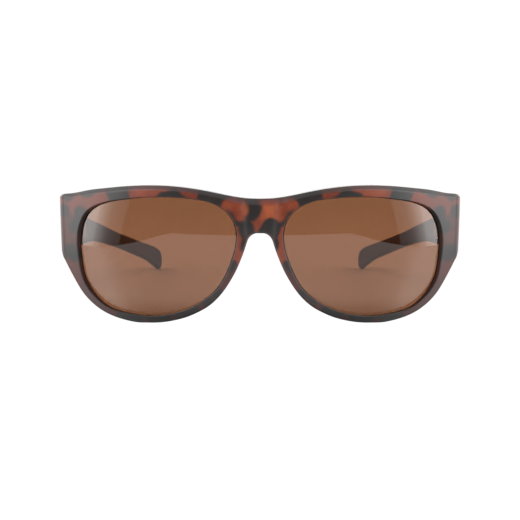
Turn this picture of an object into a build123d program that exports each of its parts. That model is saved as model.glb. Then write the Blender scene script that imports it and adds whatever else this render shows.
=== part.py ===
from build123d import *
import os
from math import sin, cos, asin, sqrt, radians, pi

# Fitover sunglasses: a wrapped moulded front, two tinted lenses in grooves, two folding temples on metal barrel hinges.
# Frame: +X is the viewer's right, the front faces -Y, +Z up. Rims and temple tips stand on Z = 0, symmetric about X = 0.
# Drawn with Y = 0 at the foremost point of the face sphere; the finished pieces move by -origin_y, so that the origin
# lies at the middle of the object's footprint.

# ---------------------------------------------------------------- driving dimensions (mm)
face_radius = 150.0        # wrap of the front face, a sphere
face_centre_z = 26.0       # height of that sphere's centre
front_thickness = 4.6      # front face to back face
half_width = 73.0          # outer side of an end-piece
origin_y = 73.61           # from the face sphere's foremost point back to the origin
end_wall = 4.2             # thickness of the end-piece's side wall
joint_y = 34.0             # plane where front and temple meet
joint_gap = 0.16           # gap there with the temple open
front_edge_round = 1.2     # rounding of the front's outer edge
opening_edge_round = 0.35  # rounding of the lens openings' front edge

lens_recess = 1.45         # lens face behind the front face
lens_thickness = 2.0
lens_bite = 0.75           # how far the lens edge sits in its groove
groove_play = 0.05         # play of the lens in its groove, all round
lens_axis_x = 37.0         # where the lens plane touches the face sphere

saddle_depth = 5.6         # how far the nose saddle stands behind the back face
saddle_width = 2.2

barrel_radius = 1.3        # hinge knuckle
barrel_x = 66.95           # fold axis, from the centre plane
barrel_y = joint_y + joint_gap / 2
barrel_z = 28.2            # bottom of the lowest knuckle
knuckle_height = 1.25
knuckle_gap = 0.06
knuckle_pitch = knuckle_height + knuckle_gap
barrel_top = barrel_z + 5 * knuckle_pitch - knuckle_gap
leaf_thickness = 0.9
leaf_length = 6.6
leaf_outer_x = 69.35       # face of the leaf that lies in the plastic
stud_radius = 0.6          # anchors of a leaf in the plastic
stud_length = 1.5
screw_radius = 0.70        # M1.4 shank
screw_bore = 0.73
screw_head_radius = 1.15
screw_head_height = 0.55

tip_y = 147.0              # rear end of the temple
tip_inner_x = 46.2         # inner face of the tip, from the centre plane
root_inner_x = 68.8        # inner face of the temple at the joint
root_outer_x = 72.75
tip_thickness = 2.8
temple_edge_round = 0.9

# ---------------------------------------------------------------- outlines, front view (x, z), right half
brow_points = [(0.0, 45.90), (6.9, 46.22), (13.2, 47.33), (19.6, 48.55), (26.0, 49.43), (32.4, 49.93), (38.0, 50.06),
               (43.3, 49.86), (50.0, 49.28), (56.8, 48.42), (63.7, 47.25), (70.6, 45.84)]
side_top = (73.05, 43.9)
side_bottom = (72.6, 26.4)
cheek_points = [(71.75, 22.9), (69.6, 18.6), (67.3, 14.35), (64.6, 10.1), (61.0, 6.2), (57.3, 3.75), (52.6, 1.75),
                (48.5, 0.66), (44.2, 0.08), (41.4, 0.0), (38.6, 0.12), (35.1, 0.60), (30.7, 1.52), (26.3, 2.90),
                (22.2, 4.80), (19.0, 6.85), (16.6, 8.85), (14.5, 11.0), (12.75, 13.2), (10.75, 16.3), (9.0, 19.4),
                (7.65, 22.3), (6.5, 25.1), (5.55, 27.8), (4.80, 30.1)]
arch_points = [(4.80, 30.1), (4.05, 31.9), (2.85, 33.15), (1.4, 33.68), (0.0, 33.78)]
nose_points = cheek_points[16:]

# lens opening in the lens plane (u towards the nose, v up), closed
opening_points = [(28.05, 0.0), (28.97, 4.75), (28.69, 9.08), (27.27, 12.58), (24.75, 15.47), (20.93, 17.76),
                  (16.19, 19.1), (10.4, 19.74), (4.37, 20.04), (-1.0, 19.98), (-6.28, 19.7), (-11.95, 18.97),
                  (-17.86, 18.08), (-23.09, 16.64), (-27.24, 13.95), (-29.99, 9.42), (-30.8, 3.13), (-30.25, -4.11),
                  (-28.44, -11.09), (-24.9, -16.73), (-19.5, -20.55), (-12.93, -22.43), (-6.36, -23.22),
                  (-0.19, -23.1), (5.78, -22.17), (11.65, -20.24), (17.18, -16.96), (22.11, -12.29), (25.54, -6.62)]

# temple, side view (y, z); its tip is closed by two tangent arcs
temple_top = [(joint_y + joint_gap, 38.2), (41.0, 35.85), (50.0, 33.3), (63.8, 29.5), (82.9, 24.5), (98.0, 20.8),
              (113.4, 17.0), (127.0, 13.7), (141.0, 10.2)]
temple_bottom = [(141.6, 0.75), (134.0, 5.1), (125.0, 8.85), (112.0, 12.25), (96.0, 16.2), (80.0, 20.0), (68.0, 22.65),
                 (56.0, 24.2), (45.0, 24.5), (joint_y + joint_gap, 24.0)]
tip_back = (tip_y - 0.12, 4.6)
tip_foot = (144.3, 0.0)
# end-piece, side view (y, z): its top edge falls to the joint, its bottom edge runs nearly level
end_top = [(21.0, 46.75), (24.3, 45.2), (27.9, 42.5), (31.2, 39.95), (joint_y, 38.27), (joint_y + 2, 37.3)]
end_bottom_z = 24.0

os.makedirs("parts", exist_ok=True)

face_centre = (0, face_radius, face_centre_z)
turn = asin(lens_axis_x / face_radius)
lens_plane = Plane(origin=(-lens_axis_x, face_radius - face_radius * cos(turn), face_centre_z),
                   x_dir=(cos(turn), -sin(turn), 0), z_dir=(-sin(turn), -cos(turn), 0))


def grown(points, distance, closed=True):
    """The points moved to the right of their direction of travel by the distance."""
    moved = []
    last = len(points) - 1
    for i, (a, b) in enumerate(points):
        before = points[i - 1] if closed or i > 0 else points[0]
        after = points[(i + 1) % len(points)] if closed or i < last else points[last]
        da, db = after[0] - before[0], after[1] - before[1]
        length = sqrt(da * da + db * db)
        moved.append((a + distance * db / length, b - distance * da / length))
    return moved


def hand(part, name):
    """Write one finished piece, with the origin moved to the middle of the object's depth."""
    part = part.moved(Location((0, -origin_y, 0)))
    part.label = name
    export_step(part, f"parts/{name}.step")
    print(name, "solids", len(part.solids()), "volume", round(part.volume, 2))


# ---------------------------------------------------------------- front outline, a closed face in the XZ plane
with BuildSketch(Plane.XZ) as outline:
    with BuildLine() as half:
        Spline(brow_points, tangents=[(1, 0), (0.975, -0.222)])
        Spline([brow_points[-1], (72.45, 45.2), side_top], tangents=[(0.975, -0.222), (-0.01, -1)])
        Line(side_top, side_bottom)
        Spline([side_bottom] + cheek_points)
        Spline(arch_points, tangents=[(-0.25, 1), (-1, 0)])
        mirror(about=Plane.YZ)
    make_face()

# strip of the outline that borders the nose
saddle_edge = grown(nose_points[:-1] + arch_points[:-1], saddle_width, closed=False) + [(0.0, arch_points[-1][1] + saddle_width)]
with BuildSketch(Plane.XZ) as saddle_outline:
    with BuildLine():
        Spline(saddle_edge)
        Line(saddle_edge[0], (0, saddle_edge[0][1]))
        mirror(about=Plane.YZ)
    make_face()
    add(outline.sketch, mode=Mode.INTERSECT)

# ---------------------------------------------------------------- cutting shapes of the front
with BuildPart() as cavity:
    # room behind the front: inside the back sphere and between the end-piece walls
    with Locations(face_centre):
        Sphere(face_radius - front_thickness)
    with Locations((0, 0, face_centre_z)):
        Box(2 * (half_width - end_wall), 400, 200, mode=Mode.INTERSECT)

with BuildPart() as groove:
    # ring-shaped groove that holds the lens edge
    with BuildSketch(lens_plane):
        with BuildLine():
            Spline(grown(opening_points, lens_bite + groove_play), periodic=True)
        make_face()
    extrude(amount=16, both=True)
    with Locations(face_centre):
        Sphere(face_radius - lens_recess + groove_play, mode=Mode.INTERSECT)
        Sphere(face_radius - lens_recess - lens_thickness - groove_play, mode=Mode.SUBTRACT)

with BuildPart() as opening:
    # through opening of the left rim, along the lens axis, with its groove
    with BuildSketch(lens_plane):
        with BuildLine():
            Spline(opening_points, periodic=True)
        make_face()
    extrude(amount=12, both=True)
    add(groove.part)

with BuildPart() as saddle:
    with BuildSketch(Plane.XZ):
        add(saddle_outline.sketch)
    extrude(amount=-14)
    with BuildSketch(Plane.YZ.offset(-20)):
        with BuildLine():
            Spline([(3.0, 7.0), (6.6, 12.0), (front_thickness + saddle_depth, 20.0), (9.6, 28.0), (3.0, 37.5)])
            Line((3.0, 37.5), (3.0, 7.0))
        make_face()
    extrude(amount=40, mode=Mode.INTERSECT)
    # it starts behind the lenses' grooves
    with Locations(face_centre):
        Sphere(face_radius - lens_recess - lens_thickness - groove_play, mode=Mode.INTERSECT)

with BuildPart() as leaf_seat:
    # seat of the front leaf in the left end-piece wall, with its two anchor holes
    with Locations((-(leaf_outer_x - 2), joint_y - leaf_length / 2, (barrel_z + barrel_top) / 2)):
        Box(4, leaf_length + 0.02, barrel_top - barrel_z + 0.04)
    with BuildSketch(Plane.YZ.offset(-leaf_outer_x)):
        with Locations((joint_y - 4.6, barrel_z + 1.5), (joint_y - 4.6, barrel_z + 5.0)):
            Circle(stud_radius + 0.02)
    extrude(amount=-stud_length)

# ---------------------------------------------------------------- front frame
with BuildPart() as front_frame:
    # blank: inside the face sphere and inside the outline, back to the joint plane
    with BuildSketch(Plane.XZ.offset(6)):
        add(outline.sketch.face())
    extrude(amount=-(joint_y + 6))
    with Locations(face_centre):
        Sphere(face_radius, mode=Mode.INTERSECT)
    add(cavity.part, mode=Mode.SUBTRACT)
    # side profile of the end-pieces
    with BuildSketch(Plane.YZ.offset(-80)):
        with BuildLine():
            Spline(end_top)
            Polyline(end_top[-1], (joint_y + 2, 60), (end_top[0][0], 60), end_top[0])
        make_face()
        with BuildLine():
            Polyline((21.5, 10.0), (21.5, 20.5), (25.5, end_bottom_z), (joint_y + 2, end_bottom_z),
                     (joint_y + 2, 0), (21.5, 0), (21.5, 10.0))
        make_face()
    extrude(amount=160, mode=Mode.SUBTRACT)
    # left half, then its mirror image
    split(bisect_by=Plane.YZ, keep=Keep.BOTTOM)
    front_face = front_frame.faces().filter_by(GeomType.SPHERE).sort_by(Axis.Y)[0]
    fillet(front_face.edges().filter_by_position(Axis.X, -90, -0.5), front_edge_round)
    add(leaf_seat.part, mode=Mode.SUBTRACT)
    add(opening.part, mode=Mode.SUBTRACT)
    front_face = front_frame.faces().filter_by(GeomType.SPHERE).sort_by(Axis.Y)[0]
    fillet(front_face.inner_wires()[0].edges(), opening_edge_round)
    mirror(about=Plane.YZ)
    add(saddle.part)
hand(front_frame.part, "front_frame")

# ---------------------------------------------------------------- lenses
with BuildPart() as lens_left:
    with BuildSketch(lens_plane):
        with BuildLine():
            Spline(grown(opening_points, lens_bite), periodic=True)
        make_face()
    extrude(amount=16, both=True)
    with Locations(face_centre):
        Sphere(face_radius - lens_recess, mode=Mode.INTERSECT)
        Sphere(face_radius - lens_recess - lens_thickness, mode=Mode.SUBTRACT)
hand(lens_left.part, "lens_left")

with BuildPart() as lens_right:
    add(lens_left.part)
    mirror(about=Plane.YZ, mode=Mode.REPLACE)
hand(lens_right.part, "lens_right")

# ---------------------------------------------------------------- temples
with BuildPart() as temple_leaf_seat:
    with Locations((-(leaf_outer_x - 2), joint_y + joint_gap + leaf_length / 2, (barrel_z + barrel_top) / 2)):
        Box(4, leaf_length + 0.02, barrel_top - barrel_z + 0.04)
    with BuildSketch(Plane.YZ.offset(-leaf_outer_x)):
        with Locations((joint_y + joint_gap + 4.6, barrel_z + 1.5), (joint_y + joint_gap + 4.6, barrel_z + 5.0)):
            Circle(stud_radius + 0.02)
    extrude(amount=-stud_length)

with BuildPart() as temple_left:
    y0 = joint_y + joint_gap
    with BuildSketch(Plane.XY):
        with BuildLine():
            Line((-root_inner_x, y0), (-root_outer_x, y0))
            Spline([(-root_outer_x, y0), (-71.7, 42.0), (-69.1, 56.0), (-(tip_inner_x + tip_thickness), tip_y + 1)],
                   tangents=[(0.07, 1), (0.19, 1)])
            Line((-(tip_inner_x + tip_thickness), tip_y + 1), (-tip_inner_x, tip_y + 1))
            Spline([(-tip_inner_x, tip_y + 1), (-65.9, 50.0), (-root_inner_x, y0)], tangents=[(-0.205, -1), (-0.13, -1)])
        make_face()
    extrude(amount=60)
    with BuildSketch(Plane.YZ.offset(-80)):
        with BuildLine():
            upper = Spline(temple_top, tangents=[(1, -0.36), (1, -0.245)])
            lower = Spline(temple_bottom, tangents=[(-1, 0.62), (-1, -0.08)])
            back_arc = TangentArc(upper @ 1, tip_back, tangent=upper % 1)
            foot_arc = TangentArc(tip_back, tip_foot, tangent=back_arc % 1)
            Line(tip_foot, lower @ 0)
            Line(lower @ 1, upper @ 0)
        make_face()
    extrude(amount=60, mode=Mode.INTERSECT)
    fillet(temple_left.edges().filter_by(GeomType.BSPLINE).filter_by_position(Axis.Y, 38, 160), temple_edge_round)
    add(temple_leaf_seat.part, mode=Mode.SUBTRACT)
hand(temple_left.part, "temple_left")

with BuildPart() as temple_right:
    add(temple_left.part)
    mirror(about=Plane.YZ, mode=Mode.REPLACE)
hand(temple_right.part, "temple_right")

# ---------------------------------------------------------------- hinges
front_knuckles = [barrel_z + i * knuckle_pitch for i in (0, 2, 4)]
temple_knuckles = [barrel_z + i * knuckle_pitch for i in (1, 3)]
leaf_inner_x = leaf_outer_x - leaf_thickness

with BuildPart() as front_hinge_leaf_left:
    # plate in the end-piece wall, three knuckles and their arms, two anchors
    for z in front_knuckles:
        with BuildSketch(Plane.XY.offset(z)):
            with Locations((-barrel_x, barrel_y)):
                Circle(barrel_radius)
            with Locations(((-leaf_outer_x - barrel_x) / 2, joint_y - 1.1)):
                Rectangle(leaf_outer_x - barrel_x, 2.2)
        extrude(amount=knuckle_height)
    with BuildSketch(Plane.XY.offset(barrel_z)):
        with Locations((-(leaf_outer_x + leaf_inner_x) / 2, joint_y - 1.6 - (leaf_length - 1.6) / 2)):
            Rectangle(leaf_thickness, leaf_length - 1.6)
    extrude(amount=barrel_top - barrel_z)
    with BuildSketch(Plane.YZ.offset(-leaf_outer_x)):
        with Locations((joint_y - 4.6, barrel_z + 1.5), (joint_y - 4.6, barrel_z + 5.0)):
            Circle(stud_radius)
    extrude(amount=-stud_length)
    with BuildSketch(Plane.XY.offset(barrel_z)):
        with Locations((-barrel_x, barrel_y)):
            Circle(screw_bore)
    extrude(amount=barrel_top - barrel_z, mode=Mode.SUBTRACT)
hand(front_hinge_leaf_left.part, "front_hinge_leaf_left")

with BuildPart() as temple_hinge_leaf_left:
    # plate in the temple root, two knuckles and their arms, two anchors
    for z in temple_knuckles:
        with BuildSketch(Plane.XY.offset(z)):
            with Locations((-barrel_x, barrel_y)):
                Circle(barrel_radius)
            with Locations(((-leaf_outer_x - barrel_x) / 2, joint_y + joint_gap + 1.1)):
                Rectangle(leaf_outer_x - barrel_x, 2.2)
        extrude(amount=knuckle_height)
    with BuildSketch(Plane.XY.offset(barrel_z)):
        with Locations((-(leaf_outer_x + leaf_inner_x) / 2, joint_y + joint_gap + 1.6 + (leaf_length - 1.6) / 2)):
            Rectangle(leaf_thickness, leaf_length - 1.6)
    extrude(amount=barrel_top - barrel_z)
    with BuildSketch(Plane.YZ.offset(-leaf_outer_x)):
        with Locations((joint_y + joint_gap + 4.6, barrel_z + 1.5), (joint_y + joint_gap + 4.6, barrel_z + 5.0)):
            Circle(stud_radius)
    extrude(amount=-stud_length)
    with BuildSketch(Plane.XY.offset(barrel_z)):
        with Locations((-barrel_x, barrel_y)):
            Circle(screw_bore)
    extrude(amount=barrel_top - barrel_z, mode=Mode.SUBTRACT)
hand(temple_hinge_leaf_left.part, "temple_hinge_leaf_left")

with BuildPart() as hinge_screw_left:
    # shank down through all five knuckles, head on the top one with a driver slot
    with BuildSketch(Plane.XY.offset(barrel_z - 0.15)):
        with Locations((-barrel_x, barrel_y)):
            Circle(screw_radius)
    extrude(amount=barrel_top - barrel_z + 0.15)
    with BuildSketch(Plane.XY.offset(barrel_top)):
        with Locations((-barrel_x, barrel_y)):
            Circle(screw_head_radius)
    extrude(amount=screw_head_height)
    chamfer(hinge_screw_left.edges().group_by(Axis.Z)[-1], 0.12)
    with BuildSketch(Plane.XY.offset(barrel_top + screw_head_height)):
        with Locations((-barrel_x, barrel_y)):
            Rectangle(2.6, 0.3)
    extrude(amount=-0.28, mode=Mode.SUBTRACT)
hand(hinge_screw_left.part, "hinge_screw_left")

with BuildPart() as front_hinge_leaf_right:
    add(front_hinge_leaf_left.part)
    mirror(about=Plane.YZ, mode=Mode.REPLACE)
hand(front_hinge_leaf_right.part, "front_hinge_leaf_right")

with BuildPart() as temple_hinge_leaf_right:
    add(temple_hinge_leaf_left.part)
    mirror(about=Plane.YZ, mode=Mode.REPLACE)
hand(temple_hinge_leaf_right.part, "temple_hinge_leaf_right")

with BuildPart() as hinge_screw_right:
    add(hinge_screw_left.part)
    mirror(about=Plane.YZ, mode=Mode.REPLACE)
hand(hinge_screw_right.part, "hinge_screw_right")
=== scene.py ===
import math

import bpy
import bmesh
import numpy as np
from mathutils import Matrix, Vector, geometry


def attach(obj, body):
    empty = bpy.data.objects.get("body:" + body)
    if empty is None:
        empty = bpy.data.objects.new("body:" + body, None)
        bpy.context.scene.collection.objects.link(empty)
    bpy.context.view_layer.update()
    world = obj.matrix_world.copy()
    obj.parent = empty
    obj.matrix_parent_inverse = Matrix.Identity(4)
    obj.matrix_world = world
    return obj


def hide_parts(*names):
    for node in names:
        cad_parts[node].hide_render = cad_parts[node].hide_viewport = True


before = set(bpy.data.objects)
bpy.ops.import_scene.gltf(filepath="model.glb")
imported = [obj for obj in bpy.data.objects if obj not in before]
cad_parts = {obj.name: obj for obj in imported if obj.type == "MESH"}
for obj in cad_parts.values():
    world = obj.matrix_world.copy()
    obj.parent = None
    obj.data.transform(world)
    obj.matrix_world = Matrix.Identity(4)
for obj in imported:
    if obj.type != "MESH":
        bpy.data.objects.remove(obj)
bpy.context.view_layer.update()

MM = 0.001
ORIGIN_Y = 73.61          # mm from the face sphere's foremost point back to the origin
FACE_R = 150.0            # radius of the front face
BACK_R = 145.4            # radius of the back face
CENTRE_Z = 26.0           # height of both spheres' centre
JOINT_Y = 34.0            # plane where front and temple meet

# ------------------------------------------------------------------ camera
cam_data = bpy.data.cameras.new("camera")
cam = bpy.data.objects.new("camera", cam_data)
bpy.context.scene.collection.objects.link(cam)
cam_data.lens = 89.15
cam_data.sensor_width = 36.0
cam_data.clip_start = 0.01
cam_data.clip_end = 20.0
cam.location = (0.0, -0.52361, 0.086797)
cam.rotation_euler = (math.radians(90.0 - 7.9207), 0.0, 0.0)
bpy.context.scene.camera = cam


# ------------------------------------------------------------------ curves in a plane
def smooth_curve(points, closed=False, step=0.2):
    """Dense points along the cubic spline through the points."""
    p = np.asarray(points, float)
    if closed:
        p = np.vstack([p, p[:1]])
    h = np.linalg.norm(np.diff(p, axis=0), axis=1)
    n = len(h)
    a = np.zeros((n + 1, n + 1))
    b = np.zeros((n + 1, p.shape[1]))
    for i in range(1, n):
        a[i, i - 1], a[i, i], a[i, i + 1] = h[i - 1], 2 * (h[i - 1] + h[i]), h[i]
        b[i] = 6 * ((p[i + 1] - p[i]) / h[i] - (p[i] - p[i - 1]) / h[i - 1])
    if closed:
        a[0, 0], a[0, 1], a[0, n - 1] = 2 * (h[n - 1] + h[0]), h[0], h[n - 1]
        b[0] = 6 * ((p[1] - p[0]) / h[0] - (p[0] - p[n - 1]) / h[n - 1])
        a[n, 0], a[n, n] = 1, -1
    else:
        a[0, 0] = a[n, n] = 1
    m = np.linalg.solve(a, b)
    out = []
    for i in range(n):
        w = h[i]
        u = np.linspace(0, w, max(2, int(math.ceil(w / step))), endpoint=False)[:, None]
        out.append((m[i] * (w - u) ** 3 + m[i + 1] * u ** 3) / (6 * w) + (p[i] / w - m[i] * w / 6) * (w - u)
                   + (p[i + 1] / w - m[i + 1] * w / 6) * u)
    if not closed:
        out.append(p[-1:])
    return np.vstack(out)


def resampled(poly, spacing):
    """Evenly spaced points round a closed polyline."""
    p = np.vstack([poly, poly[:1]])
    s = np.concatenate([[0], np.cumsum(np.linalg.norm(np.diff(p, axis=0), axis=1))])
    n = int(round(s[-1] / spacing))
    at = np.linspace(0, s[-1], n, endpoint=False)
    return np.column_stack([np.interp(at, s, p[:, k]) for k in range(p.shape[1])])


def trimmed(poly, start, end):
    """An open polyline without its first and last few millimetres."""
    s = np.concatenate([[0], np.cumsum(np.linalg.norm(np.diff(poly, axis=0), axis=1))])
    keep = (s > start) & (s < s[-1] - end)
    first = [np.array([np.interp(start, s, poly[:, k]) for k in range(2)])]
    last = [np.array([np.interp(s[-1] - end, s, poly[:, k]) for k in range(2)])]
    return np.vstack([first, poly[keep], last])


def joined(pieces, soft):
    """One closed polyline from open ones that end where the next begins, each corner rounded over soft mm."""
    out = []
    n = len(pieces)
    for i in range(n):
        piece = trimmed(pieces[i], soft[i - 1], soft[i])
        after = trimmed(pieces[(i + 1) % n], soft[i], soft[(i + 1) % n])
        corner = pieces[i][-1]
        u = np.linspace(0, 1, 9)[1:-1, None]
        out += [piece, (1 - u) ** 2 * piece[-1] + 2 * u * (1 - u) * corner + u * u * after[0]]
    return np.vstack(out)


def blurred(values, spacing, sigma):
    """Values round a closed loop, smoothed along it."""
    n = len(values)
    k = np.arange(n)
    k = np.minimum(k, n - k) * spacing
    g = np.exp(-0.5 * (k / sigma) ** 2)
    g /= g.sum()
    f = np.fft.fft(g)
    v = values if values.ndim > 1 else values[:, None]
    out = np.real(np.fft.ifft(np.fft.fft(v, axis=0) * f[:, None], axis=0))
    return out if values.ndim > 1 else out[:, 0]


def inward(loop, spacing, sigma, side):
    """Direction into the material at each point of a closed loop."""
    d = np.roll(loop, -1, axis=0) - np.roll(loop, 1, axis=0)
    d /= np.linalg.norm(d, axis=1)[:, None]
    n = np.column_stack([-d[:, 1], d[:, 0]]) * side
    m = blurred(n, spacing, sigma)
    along = (m * n).sum(1)[:, None]
    return m / np.maximum(along, 0.75)


def area_sign(loop):
    x, y = loop[:, 0], loop[:, 1]
    return np.sign((x * np.roll(y, -1) - np.roll(x, -1) * y).sum())


def inside(points, loop):
    """Which points lie inside the closed loop."""
    x, y = points[:, 0], points[:, 1]
    hit = np.zeros(len(points), bool)
    a, b = loop, np.roll(loop, -1, axis=0)
    for (x0, y0), (x1, y1) in zip(a, b):
        if y0 == y1:
            continue
        cross = ((y0 > y) != (y1 > y)) & (x < (x1 - x0) * (y - y0) / (y1 - y0) + x0)
        hit ^= cross
    return hit


def nearest(points, to):
    out = np.empty(len(points))
    for i in range(0, len(points), 500):
        d = points[i:i + 500, None, :] - to[None, :, :]
        out[i:i + 500] = np.sqrt((d ** 2).sum(2).min(1))
    return out


def smoothstep(x, low, high):
    u = np.clip((x - low) / (high - low), 0, 1)
    return u * u * (3 - 2 * u)


# ------------------------------------------------------------------ a plate with rounded edges
def round_steps(r, steps, back=False):
    """(distance from the edge, depth from the face) round a quarter circle."""
    out = []
    for k in range(steps + 1):
        a = math.pi / 2 * k / steps
        out.append((r * (1 - math.sin(a)), r * (1 - math.cos(a))))
    return out[::-1] if back else out


def plate(name, loops, place, grid, paint, extra_points=()):
    """A closed shell: two faces with the same triangles, and a band of quads round each edge loop.
    loops: (points, inward directions, profile), where the profile is a list of (distance, side, depth), each a number or
    an array along the loop; side 0 measures depth from the outer face, 1 from the inner one.
    place(points, side, depth) gives the 3-D positions in mm, and paint(points, side) the values stored on them."""
    verts, faces, rings, painted = [], [], [], []
    count = 0
    for points, normal, profile in loops:
        ring = []
        for distance, side, depth in profile:
            d = np.broadcast_to(np.asarray(distance, float), (len(points),))
            h = np.broadcast_to(np.asarray(depth, float), (len(points),))
            q = points + normal * d[:, None]
            verts.append(place(q, side, h))
            painted.append((q, side))
            ring.append(np.arange(count, count + len(points)))
            count += len(points)
        rings.append(ring)
        for a, b in zip(ring[:-1], ring[1:]):
            a2, b2 = np.roll(a, -1), np.roll(b, -1)
            faces += np.column_stack([a, a2, b2, b]).tolist()
    # the flat region between the innermost rings
    borders = [points + normal * np.broadcast_to(np.asarray(profile[0][0], float), (len(points),))[:, None]
               for points, normal, profile in loops]
    low, high = borders[0].min(0), borders[0].max(0)
    xs = np.arange(low[0], high[0] + grid, grid)
    ys = np.arange(low[1], high[1] + grid, grid * 0.866)
    gx, gy = np.meshgrid(xs, ys)
    gx = gx + (np.arange(len(ys)) % 2)[:, None] * grid / 2
    cloud = np.column_stack([gx.ravel(), gy.ravel()])
    if len(extra_points):
        cloud = cloud[nearest(cloud, extra_points) > 0.55 * grid]
        cloud = np.vstack([cloud, extra_points])
    keep = inside(cloud, borders[0])
    for hole in borders[1:]:
        keep &= ~inside(cloud, hole)
    cloud = cloud[keep]
    cloud = cloud[nearest(cloud, np.vstack(borders)) > 0.45 * grid]
    flat = np.vstack(borders + [cloud])
    edges, at = [], 0
    for border in borders:
        k = len(border)
        edges += [(at + i, at + (i + 1) % k) for i in range(k)]
        at += k
    cdt = geometry.delaunay_2d_cdt([Vector(p) for p in flat], edges, [], 1, 1e-7, True)
    pos, tris, origin = cdt[0], cdt[2], cdt[3]
    back_to = [o[0] if o else -1 for o in origin]
    if min(back_to) < 0 or len(pos) != len(flat):
        print(name, "extra triangulation points", len(pos) - len(flat))
    tri = np.array([[back_to[i] for i in t] for t in tris if len(t) == 3])
    middle = flat[tri].mean(1)
    keep = inside(middle, borders[0])
    for hole in borders[1:]:
        keep &= ~inside(middle, hole)
    tri = tri[keep]
    border_count = sum(len(b) for b in borders)
    for end, side in ((0, 0), (-1, 1)):
        index = np.concatenate([ring[end] for ring in rings] + [np.arange(count, count + len(cloud))])
        verts.append(place(cloud, side, np.zeros(len(cloud))))
        painted.append((cloud, side))
        count += len(cloud)
        faces += index[tri if side == 0 else tri[:, ::-1]].tolist()
    values = {}
    for q, side in painted:
        for key, value in paint(q, side).items():
            values.setdefault(key, []).append(value)
    return make_mesh(name, np.vstack(verts), faces, values={key: np.concatenate(v) for key, v in values.items()})


def make_mesh(name, verts_mm, faces, angle=32.0, values=None):
    v = np.array(verts_mm, float)
    v[:, 1] -= ORIGIN_Y
    mesh = bpy.data.meshes.new(name)
    mesh.from_pydata((v * MM).tolist(), [], faces)
    for key, value in (values or {}).items():
        mesh.attributes.new(key, "FLOAT", "POINT").data.foreach_set("value", np.asarray(value, np.float32))
    bm = bmesh.new()
    bm.from_mesh(mesh)
    bmesh.ops.dissolve_degenerate(bm, dist=1e-7, edges=bm.edges)
    bmesh.ops.recalc_face_normals(bm, faces=bm.faces)
    open_edges = sum(1 for e in bm.edges if not e.is_manifold)
    if bm.calc_volume(signed=True) < 0:
        bmesh.ops.reverse_faces(bm, faces=bm.faces)
    bm.to_mesh(mesh)
    bm.free()
    for polygon in mesh.polygons:
        polygon.use_smooth = True
    mesh.set_sharp_from_angle(angle=math.radians(angle))
    print(name, "faces", len(mesh.polygons), "open edges", open_edges)
    obj = bpy.data.objects.new(name, mesh)
    bpy.context.scene.collection.objects.link(obj)
    return obj


# ------------------------------------------------------------------ the wrapped front: a map from (t, z) to space
# t runs along the front face from the middle, round the outer corner and back along the end-piece's side wall.
CORNER_R = 4.0            # rounded corner between front face and side wall
INNER_CORNER_R = 1.4


def side_x(z):
    return 73.18 + 0.50 * np.clip((z - 26.4) / 17.5, -0.25, 1.0)


def face_t(x, z):
    return FACE_R * np.arcsin(x / np.sqrt(FACE_R ** 2 - (z - CENTRE_Z) ** 2))


def wall_t(y, z):
    rho = np.sqrt(FACE_R ** 2 - (z - CENTRE_Z) ** 2)
    xc = side_x(z) - CORNER_R
    first = np.arcsin(xc / (rho - CORNER_R))
    cy = FACE_R - np.sqrt((rho - CORNER_R) ** 2 - xc ** 2)
    return FACE_R * first + CORNER_R * (math.pi / 2 - first) + (y - cy)


def front_faces(p):
    """Outer and inner point for each (t, z)."""
    t, z = p[:, 0], p[:, 1]
    sign = np.where(t < 0, -1.0, 1.0)
    a = np.abs(t)
    rho = np.sqrt(FACE_R ** 2 - (z - CENTRE_Z) ** 2)
    xs = side_x(z)
    xc = xs - CORNER_R
    first = np.arcsin(xc / (rho - CORNER_R))
    cy = FACE_R - np.sqrt((rho - CORNER_R) ** 2 - xc ** 2)
    t1 = FACE_R * first
    t2 = t1 + CORNER_R * (math.pi / 2 - first)
    rho_in = np.sqrt(BACK_R ** 2 - (z - CENTRE_Z) ** 2)
    xi = 68.8
    xic = xi - INNER_CORNER_R
    first_in = np.arcsin(xic / (rho_in - INNER_CORNER_R))
    cyi = FACE_R - np.sqrt((rho_in - INNER_CORNER_R) ** 2 - xic ** 2)
    theta = np.minimum(a, t1) / FACE_R
    theta_in = theta - (first - first_in) * smoothstep(theta, 0.33, 1.0 * first)
    turn = first + np.clip(a - t1, 0, t2 - t1) / CORNER_R
    share = np.clip((a - t1) / (t2 - t1), 0, 1)
    turn_in = first_in + (math.pi / 2 - first_in) * share
    run = np.maximum(a - t2, 0)
    full = JOINT_Y - cy
    run_in = run * (JOINT_Y - cyi) / full
    on_face, on_corner = a <= t1, (a > t1) & (a <= t2)
    xo = np.where(on_face, rho * np.sin(theta), np.where(on_corner, xc + CORNER_R * np.sin(turn), xs))
    yo = np.where(on_face, FACE_R - rho * np.cos(theta), np.where(on_corner, cy - CORNER_R * np.cos(turn), cy + run))
    xn = np.where(on_face, rho_in * np.sin(theta_in), np.where(on_corner, xic + INNER_CORNER_R * np.sin(turn_in), xi))
    yn = np.where(on_face, FACE_R - rho_in * np.cos(theta_in),
                  np.where(on_corner, cyi - INNER_CORNER_R * np.cos(turn_in), cyi + run_in))
    return np.column_stack([sign * xo, yo, z]), np.column_stack([sign * xn, yn, z])


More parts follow.
